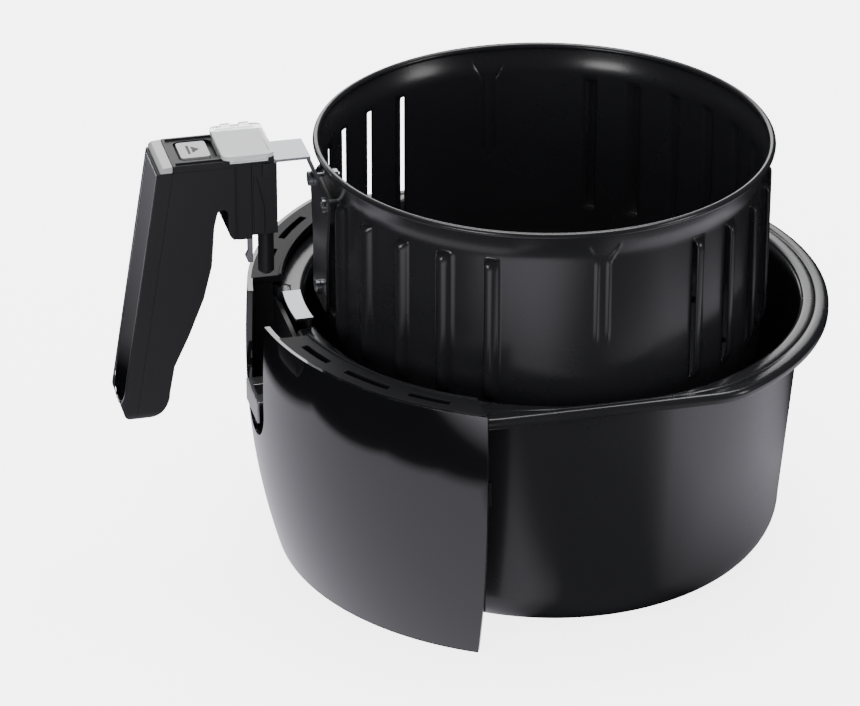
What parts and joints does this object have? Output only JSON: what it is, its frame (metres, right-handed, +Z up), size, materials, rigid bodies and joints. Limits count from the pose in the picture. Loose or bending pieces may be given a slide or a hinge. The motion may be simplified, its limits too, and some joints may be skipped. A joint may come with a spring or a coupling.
{
  "type": "air fryer drawer",
  "caption": "Round air fryer drawer with a glossy wrap-round front panel, and a lift-out basket on a pistol-grip handle with a release button and latch.",
  "frame": {"origin": "centre of the pan's flat bottom, on the pan's axis", "axes": "+Z up; the handle points to -Y, the closed back of the pan to +Y"},
  "size_m": [0.243, 0.3147, 0.2019],
  "materials": {
    "black_coat": "satin non-stick coat",
    "gloss_black": "high gloss moulding",
    "matte_grey": "fine matte texture",
    "matte_black": "satin matte moulding",
    "bright_steel": "bright plated sheet",
    "chrome_trim": "polished",
    "silver_trim": "silver satin moulding",
    "clear_guard": "clear moulded plastic"
  },
  "bodies": {
    "drawer": {"pan": "black_coat", "front_panel": "gloss_black", "collar_left": "matte_grey", "collar_right": "matte_grey", "panel_frame": "matte_grey", "latch_receiver": "matte_black", "catch_plate": "bright_steel", "pan_bracket": "bright_steel", "bracket_rivets": "bright_steel", "receiver_screws": "bright_steel"},
    "basket": {"basket_shell": "black_coat", "basket_bracket": "bright_steel", "bracket_spacer": "matte_black", "bracket_backing": "bright_steel", "bracket_screws": "bright_steel", "bracket_nuts": "bright_steel", "handle_body": "matte_black", "handle_front": "matte_black", "handle_inlay": "gloss_black", "inlay_border": "chrome_trim", "handle_screws": "bright_steel", "top_trim": "silver_trim", "deck": "matte_black", "button_spring": "bright_steel", "latch_cover": "matte_black", "guide_post": "matte_black", "latch_pin": "bright_steel", "latch_spring": "bright_steel", "strap_screws": "bright_steel"},
    "button": {"release_button": "silver_trim"},
    "guard": {"button_guard": "clear_guard"},
    "hook": {"latch_hook": "bright_steel"}
  },
  "joints": [
    {"name": "basket_lift", "type": "slide", "parent": "drawer", "child": "basket", "axis": [0, -0.0642, 0.9979], "range_m": [-0.07014, 0.045]},
    {"name": "button_press", "type": "slide", "parent": "basket", "child": "button", "axis": [0, 0, -1], "range_m": [0, 0.0025], "stiffness_N_per_m": 800, "springref_m": -0.002, "deforming": ["button_spring"]},
    {"name": "latch_swing", "type": "hinge", "parent": "basket", "child": "hook", "pos_m": [0, -0.1381, 0.184], "axis": [1, 0, 0], "range_deg": [0, 6.25]},
    {"name": "guard_slide", "type": "slide", "parent": "basket", "child": "guard", "axis": [0, -1, 0], "range_m": [0, 0.02]}
  ],
  "couplings": [
    {"joint": "latch_swing", "follows": "button_press", "rad_per_m": 43.6}
  ]
}
